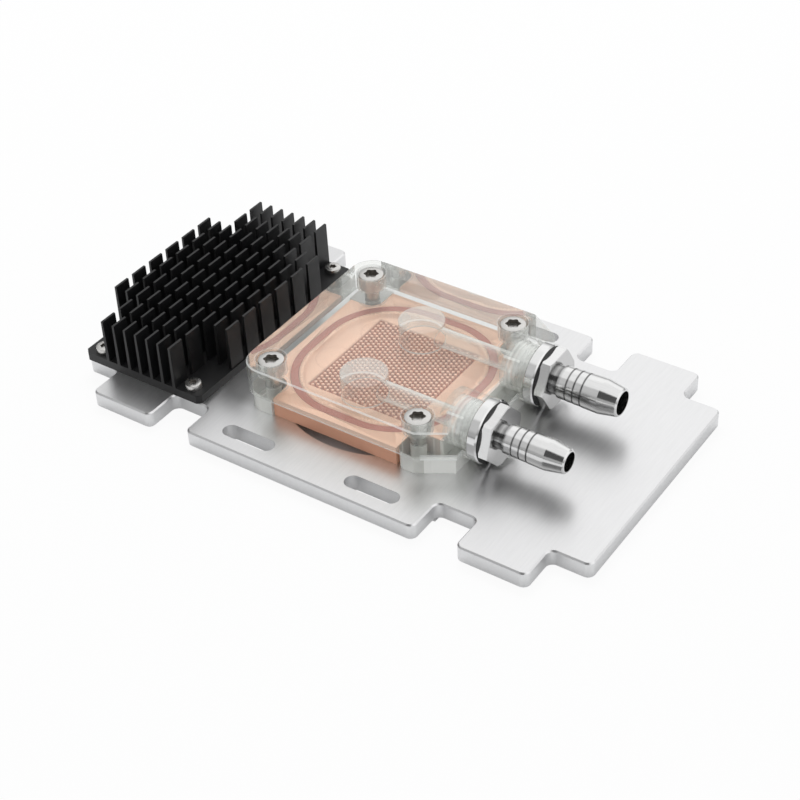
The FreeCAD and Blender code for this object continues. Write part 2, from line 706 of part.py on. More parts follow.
def cover():
    """A clear cover on four feet, with two ports, their channels and their chambers."""
    body = new_body("cover")
    base = new_sketch(body, "base_outline", offset=PLATE_TOP)
    cover_outline(base, "Sizes.foot_inset")
    pad(body, "cover_base", base, "Sizes.cold_thickness")
    base_back = f"({COVER_SIDE} - Sizes.foot_inset)"
    base_corner = "Sizes.cover_rim - Sizes.foot_inset"
    dress(body, "Fillet", "base_corners", at_back(base_back), base_corner)

    slab = new_sketch(body, "slab_outline", offset=COLD_TOP)
    cover_outline(slab)
    pad(body, "cover_slab", slab, "Sizes.cover_height - Sizes.cold_thickness")
    dress(body, "Fillet", "slab_corners", at_back(COVER_SIDE), "Sizes.cover_rim")
    top = outline_at(body.Tip.Shape, number(COVER_TOP))
    dress(body, "Chamfer", "slab_top_edge", among(top), "Sizes.cover_bevel")

    bosses = new_sketch(body, "boss_outlines", "YZ_Plane", f"{BOSS_FACE} - Sizes.boss_length")
    port_circles(bosses, BOSS_RADIUS)
    pad(body, "bosses", bosses, "Sizes.boss_length")

    # Room for the cold plate, open on three sides between the feet
    reach = f"({SCREW_X} - Sizes.foot_wall)"
    beyond = f"({COVER_SIDE} + {BEYOND})"
    along = new_sketch(body, "bay_along", offset=PLATE_TOP)
    rectangle(along, f"-{beyond}", f"-{reach}", BAY_WALL, reach)
    pocket(body, "bay_along_cut", along, "Sizes.cold_thickness", along_normal=True)
    across = new_sketch(body, "bay_across", offset=PLATE_TOP)
    rectangle(across, f"-{reach}", f"-{beyond}", reach, beyond)
    pocket(body, "bay_across_cut", across, "Sizes.cold_thickness", along_normal=True)
    inner = number(reach)
    outer = number(f"{COVER_SIDE} - Sizes.foot_inset")

    def foot_edge(edge):
        place = edge.BoundBox.Center
        return upright(edge) and near_to(abs(place.x), inner) and near_to(abs(place.y), inner)

    def port_foot_edge(edge):
        place = edge.BoundBox.Center
        return upright(edge) and near_to(place.x, inner) and near_to(abs(place.y), outer)

    dress(body, "Fillet", "foot_edges", foot_edge, "Sizes.foot_wall")
    dress(body, "Fillet", "port_foot_edges", port_foot_edge, "Sizes.foot_round")

    chambers = new_sketch(body, "chamber_outlines", offset=COLD_TOP)
    for sign in (-1, 1):
        circle(chambers, "0", signed(sign, PORT_Y), "Sizes.chamber_radius")
    rise = "Sizes.cover_height - Sizes.cold_thickness - Sizes.chamber_roof"
    pocket(body, "chambers", chambers, rise, along_normal=True)

    channels = new_sketch(body, "channel_outlines", "YZ_Plane", BOSS_FACE)
    port_circles(channels, "Sizes.channel_radius")
    pocket(body, "channels", channels, BOSS_FACE)
    ports = new_sketch(body, "port_outlines", "YZ_Plane", BOSS_FACE)
    port_circles(ports, PORT_RADIUS)
    port_depth = f"{BOSS_FACE} - {BAY_WALL} - Sizes.port_floor"
    pocket(body, "ports", ports, port_depth)
    mouth = number(BOSS_FACE)
    radius = number(PORT_RADIUS)

    def port_mouth(edge):
        box = edge.BoundBox
        flat = box.XLength < CLOSE and near_to(box.XMin, mouth)
        return flat and near_to(box.ZLength, 2 * radius)

    dress(body, "Chamfer", "port_mouths", port_mouth, "Sizes.port_bevel")

    seats = new_sketch(body, "head_seats", offset=COVER_TOP)
    shanks = new_sketch(body, "shank_holes", offset=COVER_TOP)
    for sign_x, sign_y in SIGNS:
        x = signed(sign_x, SCREW_X)
        y = signed(sign_y, SCREW_X)
        circle(seats, x, y, "Sizes.screw_head + Sizes.head_clearance")
        circle(shanks, x, y, "Sizes.screw_radius + Sizes.screw_clearance")
    pocket(body, "head_seat_cuts", seats, "Sizes.screw_rise + Sizes.screw_sunk")
    pocket(body, "shank_hole_cuts", shanks, "Sizes.cover_height")
    return body


# Screws


def hexagon(sketch, corner, turn="0"):
    """A regular hexagon about the origin, by the distance of its corners."""
    points = []
    for step in range(6):
        angle = f"({turn} + {60 * step + 30})"
        points.append((f"{corner} * cos({angle})", f"{corner} * sin({angle})"))
    polygon(sketch, points)


def socket_screw(name, radius, head, rise, grip, reach, socket, depth):
    """A screw with its head's underside at the origin and its shank downwards."""
    body = new_body(name)
    profile = new_sketch(body, f"{name}_profile", "XZ_Plane")
    rim = f"({head} - {rise} / 8)"
    polygon(
        profile,
        [
            ("0", f"-({grip} + {reach})"),
            (f"({radius} * 0.75)", f"-({grip} + {reach})"),
            (radius, f"-({grip} + {reach} - {radius} * 0.25)"),
            (radius, "0"),
            (head, "0"),
            (head, f"({rise} * 7 / 8)"),
            (rim, rise),
            ("0", rise),
        ],
    )
    revolve(body, f"{name}_turned", profile, "Z_Axis")
    drive = new_sketch(body, f"{name}_socket_outline", offset=rise)
    hexagon(drive, f"({socket} / 2 / cos(30))")
    pocket(body, f"{name}_socket", drive, depth)
    return body


def group(name, pattern, places):
    """One node that holds the pattern's solid at each place, given as expressions."""
    copies = []
    for count, place in enumerate(places, start=1):
        copy = doc.addObject("App::Link", f"{name}_{count}")
        copy.LinkedObject = pattern
        for letter, expression in zip("xyz", place):
            copy.setExpression(f".Placement.Base.{letter}", expression)
        copies.append(copy)
    node = doc.addObject("Part::Compound", name)
    node.Label = name
    node.Links = copies
    return node


def cover_screws():
    grip = "(Sizes.cover_height - Sizes.screw_rise - Sizes.screw_sunk)"
    screw = socket_screw(
        "cover_screw_pattern",
        "Sizes.screw_radius",
        "Sizes.screw_head",
        "Sizes.screw_rise",
        grip,
        "Sizes.screw_reach",
        "Sizes.socket_width",
        "Sizes.socket_depth",
    )
    height = f"{PLATE_TOP} + {grip}"
    places = [(signed(x, SCREW_X), signed(y, SCREW_X), height) for x, y in SIGNS]
    return group("cover_screws", screw, places)


def heatsink_screws():
    screw = socket_screw(
        "sink_screw_pattern",
        "Sizes.sink_screw_radius",
        "Sizes.sink_screw_head",
        "Sizes.sink_screw_rise",
        "Sizes.sink_base",
        "Sizes.sink_screw_reach",
        "Sizes.sink_socket_width",
        "Sizes.sink_socket_depth",
    )
    height = f"{PLATE_TOP} + Sizes.sink_base"
    places = [(x, signed(sign, SINK_SCREW_Y), height) for x in SINK_SCREWS_X for sign in (-1, 1)]
    return group("heatsink_screws", screw, places)


# Fittings, each made about its own axis with X along the port


def ring(name, start, length, outside, inside, sign):
    """A plain ring round a port's axis."""
    body = new_body(name)
    move_body(body, x=start, y=signed(sign, PORT_Y), z=PORT_AXIS)
    outline = new_sketch(body, f"{name}_outline", "YZ_Plane")
    circle(outline, "0", "0", outside)
    circle(outline, "0", "0", inside)
    pad(body, f"{name}_ring", outline, length)
    return body


def collar(side, sign):
    """The collar that bears on the boss, with a seal's groove in its inner face."""
    name = f"{side}_collar"
    body = ring(name, BOSS_FACE, "Sizes.collar_length", COLLAR_RADIUS, COLLAR_BORE, sign)
    outer = number(COLLAR_RADIUS)
    dress(
        body,
        "Chamfer",
        f"{name}_rims",
        lambda edge: near_to(edge.BoundBox.YLength, 2 * outer) and edge.BoundBox.XLength < CLOSE,
        "Sizes.collar_bevel",
    )
    groove = new_sketch(body, f"{name}_groove_outline", "YZ_Plane")
    circle(groove, "0", "0", FACE_SEAL_RADIUS)
    circle(groove, "0", "0", FACE_SEAL_BORE)
    pocket(body, f"{name}_groove", groove, "Sizes.face_seal_depth", along_normal=True)
    return body


def barb_profile(side):
    """The turned outline from the thread's end to the tip, outside of the bore."""
    bore = f"Sizes.{side}_bore_radius"
    root = f"({bore} + Sizes.barb_wall)"
    bulge = f"({root} + Sizes.bulge_rise)"
    tip = f"({bore} + Sizes.tip_wall)"
    hex_back = "(Sizes.collar_length + Sizes.ring_thickness)"
    hex_face = f"({hex_back} + Sizes.hex_length)"
    barb_start = f"({hex_face} + Sizes.neck_length)"
    end = f"({barb_start} + Sizes.barb_length)"
    points = [
        ("-Sizes.shank_length", bore),
        ("-Sizes.shank_length", "(Sizes.shank_radius - Sizes.shank_lead)"),
        ("-(Sizes.shank_length - Sizes.shank_lead)", "Sizes.shank_radius"),
        (hex_back, "Sizes.shank_radius"),
        (hex_face, "Sizes.shank_radius"),
        (hex_face, f"({root} - Sizes.neck_step)"),
        (barb_start, f"({root} - Sizes.neck_step)"),
        (barb_start, root),
    ]
    place = f"{barb_start} + Sizes.barb_plain"
    for step in range(BARB_GROOVES):
        near = f"({place} + {step} * Sizes.barb_rib_pitch)"
        far = f"({near} + Sizes.barb_rib_width)"
        floor = f"({root} - Sizes.barb_rib_depth)"
        rise = f"({root} + ({bulge} - {root}) * {step + 1} / {BARB_GROOVES + 1})"
        points += [(near, points[-1][1]), (near, floor), (far, floor), (far, rise)]
    taper = f"({end} - Sizes.barb_taper)"
    points += [
        (f"({taper} - Sizes.barb_bulge)", bulge),
        (taper, bulge),
        (f"({end} - Sizes.tip_round)", tip),
        (end, f"({tip} - Sizes.tip_round)"),
        (end, bore),
    ]
    return points


def fitting(side, sign):
    """A threaded shank, a hexagon and a hose barb, turned and bored as one piece."""
    name = f"{side}_fitting"
    body = new_body(name)
    move_body(body, x=BOSS_FACE, y=signed(sign, PORT_Y), z=PORT_AXIS)
    profile = new_sketch(body, f"{name}_profile", "XZ_Plane")
    polygon(profile, barb_profile(side))
    revolve(body, f"{name}_turned", profile, "X_Axis")
    hex_back = "(Sizes.collar_length + Sizes.ring_thickness)"
    flats = new_sketch(body, f"{name}_hexagon", "YZ_Plane", hex_back)
    corner = f"({COLLAR_RADIUS} - Sizes.hex_inset)"
    hexagon(flats, corner, f"Sizes.{side}_hex_turn")
    circle(flats, "0", "0", f"Sizes.{side}_bore_radius")
    pad(body, f"{name}_hex", flats, "Sizes.hex_length")
    bevels = new_sketch(body, f"{name}_bevels", "XZ_Plane")
    for edge, inward in ((hex_back, 1), (f"({hex_back} + Sizes.hex_length)", -1)):
        shift = signed(inward, f"(Sizes.hex_bevel + {BEYOND}) / 2")
        polygon(
            bevels,
            [
                (edge, f"({corner} - Sizes.hex_bevel)"),
                (f"({edge} + {shift})", f"({corner} + {BEYOND})"),
                (edge, f"({corner} + {BEYOND})"),
            ],
        )
    revolved_cut(body, f"{name}_hex_bevels", bevels, "X_Axis")
    return body


def fittings():
    nodes = []
    behind_hex = f"({BOSS_FACE} + Sizes.collar_length)"
    ring_radius = f"({COLLAR_RADIUS} - Sizes.ring_inset)"
    for side, sign in (("front", -1), ("rear", 1)):
        nodes.append(fitting(side, sign))
        nodes.append(collar(side, sign))
        hex_seal = (f"{side}_hex_seal", behind_hex, "Sizes.ring_thickness", ring_radius)
        nodes.append(ring(*hex_seal, COLLAR_BORE, sign))
        port_seal = (f"{side}_port_seal", BOSS_FACE, "Sizes.face_seal_depth", FACE_SEAL_RADIUS)
        nodes.append(ring(*port_seal, FACE_SEAL_BORE, sign))
    return nodes


# Build, check and write

nodes = [mounting_plate(), heatsink(), heatsink_screws(), cold_plate(), cover_seal(), cover()]
nodes += [cover_screws()] + fittings()
doc.recompute()
for item in doc.Objects:
    if "Invalid" in item.State or "Error" in item.State:
        raise RuntimeError(f"{item.Label} is {item.State}")
os.makedirs("parts", exist_ok=True)
for node in nodes:
    if node.Shape.isNull() or not node.Shape.isValid():
        raise RuntimeError(f"{node.Label} has no sound shape")
for node in nodes:
    node.Shape.exportStep(f"parts/{node.Label}.step")
    box = node.Shape.BoundBox
    print(node.Label, len(node.Shape.Solids), round(node.Shape.Volume, 1), box)
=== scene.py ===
import math
from dataclasses import dataclass
import bmesh
import bpy
from bpy.props import FloatProperty, FloatVectorProperty, PointerProperty
from mathutils import Matrix, Vector


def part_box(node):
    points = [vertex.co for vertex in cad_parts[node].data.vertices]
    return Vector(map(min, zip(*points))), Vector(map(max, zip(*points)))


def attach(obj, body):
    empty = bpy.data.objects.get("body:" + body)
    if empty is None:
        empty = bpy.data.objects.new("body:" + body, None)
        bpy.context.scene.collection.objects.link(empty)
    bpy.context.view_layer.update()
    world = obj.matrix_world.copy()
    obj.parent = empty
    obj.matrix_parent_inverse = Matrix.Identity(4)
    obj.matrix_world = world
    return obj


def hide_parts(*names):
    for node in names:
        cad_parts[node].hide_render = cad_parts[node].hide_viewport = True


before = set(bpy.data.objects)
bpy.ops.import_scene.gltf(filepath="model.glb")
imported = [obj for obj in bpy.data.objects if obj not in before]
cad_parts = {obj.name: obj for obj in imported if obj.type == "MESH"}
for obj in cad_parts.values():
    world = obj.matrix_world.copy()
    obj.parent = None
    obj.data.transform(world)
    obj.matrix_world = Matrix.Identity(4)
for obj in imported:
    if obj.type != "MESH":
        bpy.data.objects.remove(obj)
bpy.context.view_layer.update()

bl_info = {
    "name": "Water block looks",
    "version": (1, 0, 0),
    "blender": (4, 5, 0),
    "location": "3D View > Sidebar > Water block",
    "description": "Finishes and fine pieces for a liquid cooling block, with its stage",
    "category": "Object",
}

MM = 0.001
BODY = "root"
X_AXIS, Z_AXIS = 0, 2

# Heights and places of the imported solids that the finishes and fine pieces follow
PLATE_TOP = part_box("mounting_plate")[1].z
COLD_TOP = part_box("cold_plate")[1].z
SCREW_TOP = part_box("cover_screws")[1].z
COVER_TOP = SCREW_TOP + 0.3 * MM
COVER_HEAD_RADIUS = 3.5 * MM
COVER_HEAD_HEIGHT = 4.0 * MM
SCREWS_LOW, SCREWS_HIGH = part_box("cover_screws")
SCREW_X = (SCREWS_HIGH.x - SCREWS_LOW.x) / 2 - COVER_HEAD_RADIUS
SCREW_Y = (SCREWS_HIGH.y - SCREWS_LOW.y) / 2 - COVER_HEAD_RADIUS
PORT_Z = (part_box("front_collar")[0].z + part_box("front_collar")[1].z) / 2
PORT_Y = (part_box("rear_collar")[0].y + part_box("rear_collar")[1].y) / 2
PORT_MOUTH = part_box("cover")[1].x

# Insides of the cover: the ports end at PORT_END, and channels lead from there to the chambers
PORT_END = 28.2 * MM
THREAD_INNER, THREAD_OUTER = 6.3 * MM, 6.75 * MM
CHANNEL_RADIUS = 2.9 * MM
CHAMBER_RADIUS = 6.3 * MM
CHAMBER_ROOF = 17.0 * MM
SIDE_WALL = 29.15 * MM
SEAT_GAP = 0.02 * MM

# The pin field of the cold plate: half its sides, and the pins' feet and tips
FIELD_X, FIELD_Y = 16.15 * MM, 17.025 * MM
PIN_FOOT = COLD_TOP - 2.4 * MM
PIN_TIP = COLD_TOP - 1.0 * MM
PIN_ROOT = 0.05 * MM

# Faint painted shade arcs on the copper, standing in for the lines that the cover's refraction
# casts there: middle and radius
REFRACTION_SHADE_ARCS = (
    (-16.5 * MM, -4.2 * MM, 5.0 * MM),
    (-13.3 * MM, 11.5 * MM, 4.6 * MM),
    (13.2 * MM, 12.0 * MM, 2.9 * MM),
)

# Each barb starts beyond the hexagon's neck and has three grooves
BARB_LENGTH = 17.0 * MM
BARB_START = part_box("front_fitting")[1].x - BARB_LENGTH
GROOVE_COUNT = 3
FIRST_GROOVE = 2.65 * MM
GROOVE_PITCH = 2.2 * MM

# The camera that was fitted to the photograph, with its axes to the right and down the picture
CAMERA_PLACE = Vector((0.218678, -0.301920, 0.292408))
CAMERA_RIGHT = Vector((0.8282403915469061, 0.5590541600419279, -0.03842264892016381))
CAMERA_DOWN = Vector((0.3213960481141645, -0.530078584693987, -0.7846790900141392))
SENSOR_WIDTH = 36.0

# Outputs of Blender's Light Path, Geometry and Texture Coordinate nodes, by place
CAMERA_RAY, GLOSSY_RAY, TRANSMISSION_RAY = 0, 3, 6
NORMAL, BACKFACING = 1, 6
WORLD_DIRECTION, OBJECT_PLACE = 0, 3

MERGE_DISTANCE = 0.0005 * MM
LEVEL_TOLERANCE = 0.001 * MM
CENTRE_TOLERANCE = 0.01 * MM


class Value:
    """A number that changes over a surface. Arithmetic on it adds Math nodes."""

    def __init__(self, finish, socket):
        self.finish = finish
        self.socket = socket

    def maths(self, operation, *values):
        settings = {"operation": operation}
        return self.finish.node("ShaderNodeMath", settings, dict(enumerate(values)))

    def __add__(self, other):
        return self.maths("ADD", self, other)

    __radd__ = __add__

    def __sub__(self, other):
        return self.maths("SUBTRACT", self, other)

    def __rsub__(self, other):
        return self.maths("SUBTRACT", other, self)

    def __mul__(self, other):
        return self.maths("MULTIPLY", self, other)

    __rmul__ = __mul__

    def __truediv__(self, other):
        return self.maths("DIVIDE", self, other)

    def __pow__(self, other):
        return self.maths("POWER", self, other)

    def __gt__(self, other):
        return self.maths("GREATER_THAN", self, other)

    def __lt__(self, other):
        return self.maths("LESS_THAN", self, other)

    def absolute(self):
        return self.maths("ABSOLUTE", self)

    def root(self):
        return self.maths("SQRT", self)

    def sine(self):
        return self.maths("SINE", self)

    def clipped(self):
        """Kept between 0 and 1."""
        return self.finish.node("ShaderNodeClamp", {}, {0: self})

    def within(self, low, high):
        """1 between two values and 0 elsewhere."""
        return (self > low) * (self < high)

    def close_to(self, middle, reach):
        """1 within a reach of a value and 0 elsewhere."""
        return (self - middle).absolute() < reach

    def peak(self, middle, reach):
        """1 at a value, falling to 0 at a reach from it."""
        return (1 - (self - middle).absolute() / reach).clipped()

    def rise(self, start, length):
        """0 up to a start, then rising to 1 over a length."""
        return ((self - start) / length).clipped()


def distance(across, up):
    """How far a point lies from an axis, from its two offsets."""
    return (across * across + up * up).root()


class Finish:
    """A material, or the world, as it is put together from nodes."""

    def __init__(self, owner):
        self.owner = owner
        owner.use_nodes = True
        self.tree = owner.node_tree
        self.tree.nodes.clear()

    def outputs(self, kind, settings=None, inputs=None):
        """Add a node and return all its outputs."""
        node = self.tree.nodes.new(kind)
        for name, setting in (settings or {}).items():
            setattr(node, name, setting)
        for name, value in (inputs or {}).items():
            if isinstance(value, Value):
                self.tree.links.new(value.socket, node.inputs[name])
            else:
                node.inputs[name].default_value = value
        return [Value(self, socket) for socket in node.outputs]

    def node(self, kind, settings=None, inputs=None, output=0):
        """Add a node and return one output, or None where it has none."""
        made = self.outputs(kind, settings, inputs)
        return made[output] if made else None

    def split(self, vector):
        """The three parts of a vector."""
        return self.outputs("ShaderNodeSeparateXYZ", {}, {0: vector})

    def place(self):
        """Where a point lies on the object, in metres."""
        return self.node("ShaderNodeTexCoord", output=OBJECT_PLACE)

    def stretched(self, scale):
        """The place, stretched, for a pattern with a direction."""
        return self.node("ShaderNodeMapping", {}, {"Vector": self.place(), "Scale": scale})

    def noise(self, per_metre, detail=3.0, vector=None):
        inputs = {"Vector": vector or self.place(), "Scale": per_metre, "Detail": detail}
        return self.node("ShaderNodeTexNoise", {}, inputs)

    def mixed(self, factor, first, second):
        """One colour blended into another."""
        inputs = {0: factor, 6: first, 7: second}
        return self.node("ShaderNodeMix", {"data_type": "RGBA"}, inputs, output=2)

    def blended(self, factor, first, second):
        """One shader blended into another."""
        return self.node("ShaderNodeMixShader", {}, {0: factor, 1: first, 2: second})

    def bump(self, height, strength, depth):
        inputs = {"Height": height, "Strength": strength, "Distance": depth}
        return self.node("ShaderNodeBump", {}, inputs)

    def skin(self, **inputs):
        """A Principled shader from its inputs, named with _ for a space."""
        named = {name.replace("_", " "): value for name, value in inputs.items()}
        return self.node("ShaderNodeBsdfPrincipled", {}, named)

    def end(self, shader, kind="ShaderNodeOutputMaterial"):
        self.node(kind, {}, {"Surface": shader})
        return self.owner


def new_finish(name):
    return Finish(bpy.data.materials.new(name))


def colour(red, green, blue):
    return (red, green, blue, 1.0)


def grey(level):
    return (level, level, level, 1.0)


def satin_aluminium():
    """Fine blasted aluminium with a faint grain along Y, and a painted contact shadow under and
    close to the block.
    """
    finish = new_finish("satin_aluminium")
    grain = finish.noise(1800.0, detail=2.0, vector=finish.stretched((1.0, 0.08, 1.0)))
    blotch = finish.noise(28.0, detail=2.0)
    bare = finish.mixed(grain, colour(0.76, 0.76, 0.765), colour(0.84, 0.84, 0.845))
    x, y = finish.split(finish.place())[:2]
    block_reach = 29.0 * MM
    shadow_reach = 5.0 * MM
    fade = 3.0 * MM
    # Painted contact shadow: the plate darkens under the block and a little way past its rear and
    # -X sides.
    edge_x = (x < 0.0) * shadow_reach + block_reach
    edge_y = (y > 0.0) * shadow_reach + block_reach
    shadow_near_x = ((edge_x - x.absolute()) / fade).clipped()
    shadow_near_y = ((edge_y - y.absolute()) / fade).clipped()
    shader = finish.skin(
        Base_Color=finish.mixed(shadow_near_x * shadow_near_y * 0.35, bare, colour(0.2, 0.2, 0.19)),
        Metallic=1.0,
        Roughness=0.27 + grain * 0.06 + blotch * 0.08,
        Normal=finish.bump(grain, 0.12, 0.02 * MM),
    )
    return finish.end(shader)


def black_anodised():
    """Dyed aluminium, matt in the gaps, with a soft sheen on the blades."""
    finish = new_finish("black_anodised")
    grain = finish.noise(2600.0, detail=2.0)
    wear = finish.noise(220.0, detail=4.0)
    shader = finish.skin(
        Base_Color=finish.mixed(wear, colour(0.003, 0.003, 0.0033), colour(0.008, 0.008, 0.0085)),
        Roughness=0.36 + wear * 0.16,
        Normal=finish.bump(grain, 0.15, 0.02 * MM),
    )
    return finish.end(shader)


def milled_copper(settings):
    """Bare copper with faint painted shade arcs cast by the cover's refraction, and painted shade
    between the pins.
    """
    finish = new_finish("milled_copper")
    clouds = finish.noise(60.0)
    grain = finish.noise(2200.0, detail=2.0)
    x, y, z = finish.split(finish.place())
    # Painted shade: darker arcs along the lines that the cover's refraction casts on the copper.
    shade_arcs = 0.0
    for middle_x, middle_y, radius in REFRACTION_SHADE_ARCS:
        shade_arcs = distance(x - middle_x, y - middle_y).peak(radius, 0.28 * MM) + shade_arcs
    # Painted shade: the copper grows darker down between the pins, where shade falls.
    depth = ((PIN_TIP - 0.1 * MM - z) / (0.9 * MM)).clipped()
    bright = finish.mixed(clouds, colour(*settings.copper), colour(0.98, 0.66, 0.49))
    arc_shaded = finish.mixed(shade_arcs.clipped() * 0.4, bright, colour(0.72, 0.4, 0.28))
    shader = finish.skin(
        Base_Color=finish.mixed(depth * 0.75, arc_shaded, colour(0.62, 0.28, 0.17)),
        Metallic=0.35,
        Roughness=0.36 + grain * 0.1,
        Normal=finish.bump(grain, 0.1, 0.02 * MM),
    )
    return finish.end(shader)


def rubber(name, low, high):
    """Moulded rubber with a fine pebble."""
    finish = new_finish(name)
    pebble = finish.noise(1500.0)
    shader = finish.skin(
        Base_Color=finish.mixed(pebble, low, high),
        Roughness=0.5 + pebble * 0.12,
        Normal=finish.bump(pebble, 0.2, 0.03 * MM),
    )
    return finish.end(shader)


def turned_metal(name, low, high, roughness, wander):
    """Turned metal, with faint rings left by the tool."""
    finish = new_finish(name)
    rings = finish.noise(1.0, detail=2.0, vector=finish.stretched((2600.0, 60.0, 60.0)))
    smear = finish.noise(180.0)
    shader = finish.skin(
        Base_Color=finish.mixed(smear, low, high),
        Metallic=1.0,
        Roughness=roughness + smear * wander,
        Normal=finish.bump(rings, 0.06, 0.02 * MM),
    )
    return finish.end(shader)


def plated_fitting():
    """Bright plating with painted shade in the barb's grooves and neck and along its lower side,
    and streaks drawn out along its axis.
    """
    finish = new_finish("plated_fitting")
    x, y, z = finish.split(finish.place())
    up = z - PORT_Z
    height = up / distance(y.absolute() - PORT_Y, up)
    streaks = finish.noise(1.0, vector=finish.stretched((90.0, 2400.0, 2400.0)))
    smear = finish.noise(180.0)
    # Painted shade in the neck and in each groove of the barb.
    painted_shade = x.peak(BARB_START - 0.4 * MM, 1.3 * MM) * 0.7
    for step in range(GROOVE_COUNT):
        groove = BARB_START + FIRST_GROOVE + step * GROOVE_PITCH
        painted_shade = x.peak(groove, 0.42 * MM) * 0.9 + painted_shade
    # Painted shade on the barb's lower side, standing in for the shadowed plate that it mirrors;
    # the streaks are the plating's own grain.
    underside_shade = (0.25 - height * 1.2).clipped() * (x > BARB_START - 1.5 * MM)
    bright = finish.mixed(smear, grey(0.76), colour(0.86, 0.86, 0.855))
    streaked_and_shaded = finish.mixed(streaks * 0.12 + underside_shade * 0.42, bright, colour(0.2, 0.2, 0.195))
    shader = finish.skin(
        Base_Color=finish.mixed(painted_shade.clipped(), streaked_and_shaded, grey(0.14)),
        Metallic=1.0,
        Roughness=0.08 + smear * 0.06 + streaks * 0.08,
        Normal=finish.bump(streaks, 0.05, 0.02 * MM),
    )
    return finish.end(shader)


def painted_socket_shade():
    """Painted shade on the walls of a screw's socket."""
    finish = new_finish("painted_socket_shade")
    painted_shade = finish.noise(900.0)
    shader = finish.skin(
        Base_Color=finish.mixed(painted_shade, colour(0.1, 0.09, 0.075), colour(0.2, 0.18, 0.16)),
        Metallic=0.6,
        Roughness=0.5,
    )
    return finish.end(shader)


def port_haze(settings, x, from_axis):
    """The tapped bore of a port: milky, with a ring for each turn of its thread."""
    tapped = (x > PORT_END + 0.05 * MM) * from_axis.within(THREAD_INNER, THREAD_OUTER)
    thread = (x * (2.0 * math.pi / settings.thread_pitch)).sine() * 0.5 + 0.5
    return tapped * x.rise(27.6 * MM, 2.6 * MM) * (0.22 + thread * 0.3)


def chamber_haze(x, y, z, facing):
    """A chamber: a frosted roof with a painted highlight crescent across it, a wall and a painted
    highlight along its lower rim.
    """
    highlight_arc_x = 3.3 * MM
    highlight_arc_y = -6.0 * MM
    highlight_arc_radius = 6.75 * MM
    highlight_arc_width = 0.7 * MM
    rim_height = 0.45 * MM
    own_y = y + PORT_Y - (y > 0.0) * (2.0 * PORT_Y)
    from_middle = distance(x, own_y)
    from_highlight_arc = distance(x - highlight_arc_x, own_y - highlight_arc_y)
    roof = (from_middle < CHAMBER_RADIUS + 0.2 * MM) * z.close_to(CHAMBER_ROOF, 0.05 * MM)
    wall = from_middle.close_to(CHAMBER_RADIUS, 0.08 * MM) * (z < CHAMBER_ROOF)
    lower_rim_highlight = wall * (z < COLD_TOP + rim_height)
    # The roof's own frost is 0.1; the rest of its pattern, brighter outside the arc and brightest
    # along it, is a painted highlight, and so is the bright lower rim.
    frost_and_highlight = 0.1 + (from_highlight_arc > highlight_arc_radius) * 0.16 + from_highlight_arc.peak(highlight_arc_radius, highlight_arc_width) * 0.3
    return roof * frost_and_highlight + wall * (0.05 + facing * 0.3) + lower_rim_highlight * 0.3


def screw_hole_haze(x, y, facing):
    """The counterbores and holes of the cover screws, which show at their sides."""
    from_screw = distance(x.absolute() - SCREW_X, y.absolute() - SCREW_Y)
    round_head = from_screw.within(3.9 * MM, 4.3 * MM)
    round_shank = from_screw < 2.6 * MM
    return round_head * (0.08 + facing * 0.4) + round_shank * facing * 0.3


def painted_edge_highlight(x, z, lean):
    """Painted highlights: a bright line round the cover's top bevel and one along its lower edge.
    """
    depth = 0.42 * MM
    slack = 0.02 * MM
    end_x = 33.0 * MM
    upright, flat = 0.2, 0.96
    at_top = z.within(COVER_TOP - depth, COVER_TOP + slack) * (x < end_x)
    bevel_highlight = at_top * lean.within(upright, flat)
    lower_edge_highlight = z.close_to(COLD_TOP + 0.15 * MM, 0.3 * MM) * (lean < upright)
    return bevel_highlight * 0.45 + lower_edge_highlight * 0.4


